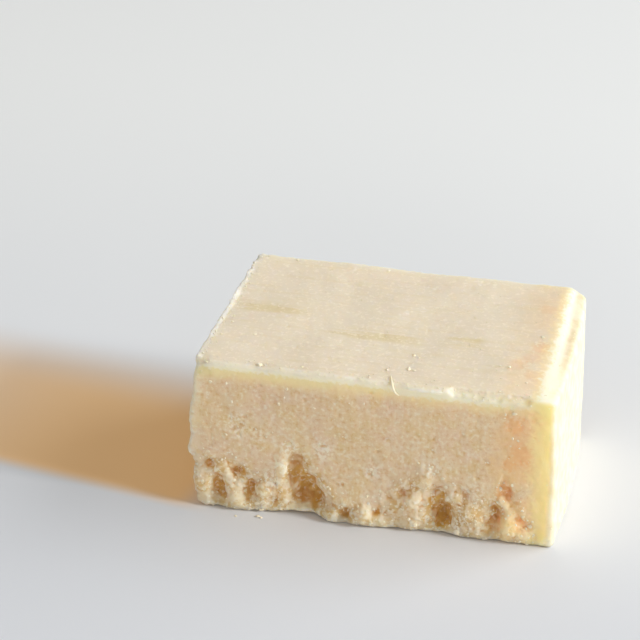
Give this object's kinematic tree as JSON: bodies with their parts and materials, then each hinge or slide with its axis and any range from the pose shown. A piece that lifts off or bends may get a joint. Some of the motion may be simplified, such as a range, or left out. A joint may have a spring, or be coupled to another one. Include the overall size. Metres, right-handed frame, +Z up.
{
  "type": "parmesan chunk",
  "caption": "Rectangular chunk of aged hard grating cheese, cut on its upper faces, craggy and broken along the foot, with rind at one end.",
  "frame": {"origin": "middle of the bounding box at the level of the sole that the chunk rests on", "axes": "+X along the chunk towards the rind, +Y from the broken front towards the back, +Z up"},
  "size_m": [0.0848, 0.0558, 0.0396],
  "materials": {
    "paste": "matte pale straw hard cheese, slightly waxy and translucent, granular where it is broken"
  },
  "bodies": {
    "root": {"cheese": "paste"}
  },
  "joints": []
}
